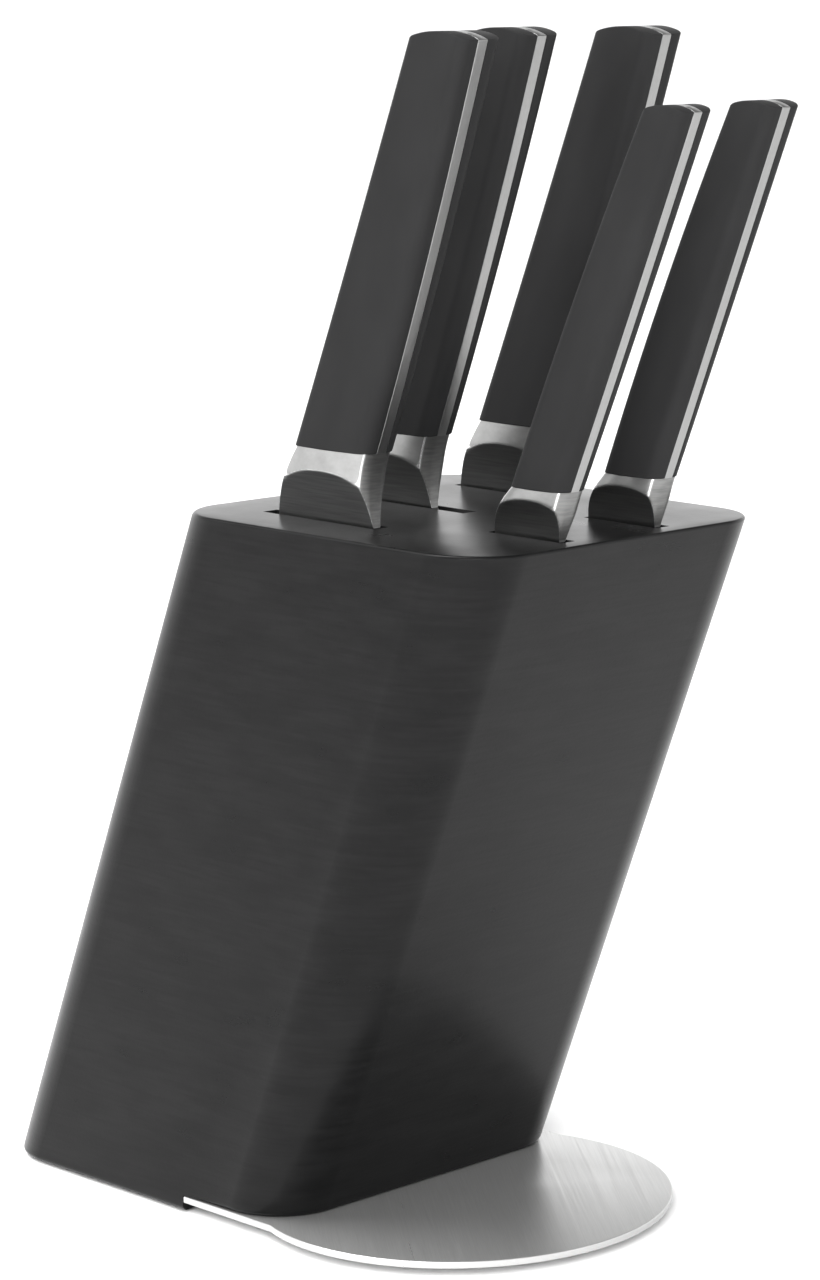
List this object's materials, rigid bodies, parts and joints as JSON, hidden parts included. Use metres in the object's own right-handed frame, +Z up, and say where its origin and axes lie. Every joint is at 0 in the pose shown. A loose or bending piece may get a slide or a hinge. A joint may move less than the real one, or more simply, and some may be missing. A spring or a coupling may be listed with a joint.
{
  "type": "knife block with knives",
  "caption": "Black slanted knife block on an oval steel base plate, holding full-tang kitchen knives that slide out of their slots.",
  "frame": {"origin": "centre of the oval part of the base plate, on the table, at the middle of the grip pad's underside", "axes": "+Z up, -Y is the way the block leans and the front, +X to the right seen from the front"},
  "size_m": [0.1264, 0.2316, 0.3345],
  "materials": {
    "block_paint": "satin black paint over glued boards",
    "plate_steel": "fine straight brushing",
    "knife_steel": "cross-ground blade, satin bolster and tang",
    "scale_black": "satin moulded",
    "rubber": "matte",
    "screw_steel": "zinc plated"
  },
  "bodies": {
    "block": {"block_board_1": "block_paint", "block_board_2": "block_paint", "block_board_3": "block_paint", "block_board_4": "block_paint", "block_board_5": "block_paint", "block_board_6": "block_paint", "base_plate": "plate_steel", "base_grip_pad": "rubber", "rear_foot_left": "rubber", "rear_foot_right": "rubber", "plate_screw_1": "screw_steel", "plate_screw_2": "screw_steel", "plate_screw_3": "screw_steel", "plate_screw_4": "screw_steel"},
    "bread_knife": {"bread_knife_blade": "knife_steel", "bread_knife_scale_left": "scale_black", "bread_knife_scale_right": "scale_black", "bread_knife_pin_1": "knife_steel", "bread_knife_pin_2": "knife_steel", "bread_knife_pin_3": "knife_steel"},
    "chef_knife": {"chef_knife_blade": "knife_steel", "chef_knife_scale_left": "scale_black", "chef_knife_scale_right": "scale_black", "chef_knife_pin_1": "knife_steel", "chef_knife_pin_2": "knife_steel", "chef_knife_pin_3": "knife_steel"},
    "carving_knife": {"carving_knife_blade": "knife_steel", "carving_knife_scale_left": "scale_black", "carving_knife_scale_right": "scale_black", "carving_knife_pin_1": "knife_steel", "carving_knife_pin_2": "knife_steel", "carving_knife_pin_3": "knife_steel"},
    "utility_knife": {"utility_knife_blade": "knife_steel", "utility_knife_scale_left": "scale_black", "utility_knife_scale_right": "scale_black", "utility_knife_pin_1": "knife_steel", "utility_knife_pin_2": "knife_steel"},
    "paring_knife": {"paring_knife_blade": "knife_steel", "paring_knife_scale_left": "scale_black", "paring_knife_scale_right": "scale_black", "paring_knife_pin_1": "knife_steel", "paring_knife_pin_2": "knife_steel"}
  },
  "joints": [
    {"name": "bread_knife_slide", "type": "slide", "parent": "block", "child": "bread_knife", "axis": [0, -0.3521, 0.936], "range_m": [0, 0.215]},
    {"name": "chef_knife_slide", "type": "slide", "parent": "block", "child": "chef_knife", "axis": [0, -0.3521, 0.936], "range_m": [0, 0.215]},
    {"name": "carving_knife_slide", "type": "slide", "parent": "block", "child": "carving_knife", "axis": [0, -0.3521, 0.936], "range_m": [0, 0.215]},
    {"name": "utility_knife_slide", "type": "slide", "parent": "block", "child": "utility_knife", "axis": [0, -0.3521, 0.936], "range_m": [0, 0.14]},
    {"name": "paring_knife_slide", "type": "slide", "parent": "block", "child": "paring_knife", "axis": [0, -0.3521, 0.936], "range_m": [0, 0.105]}
  ]
}
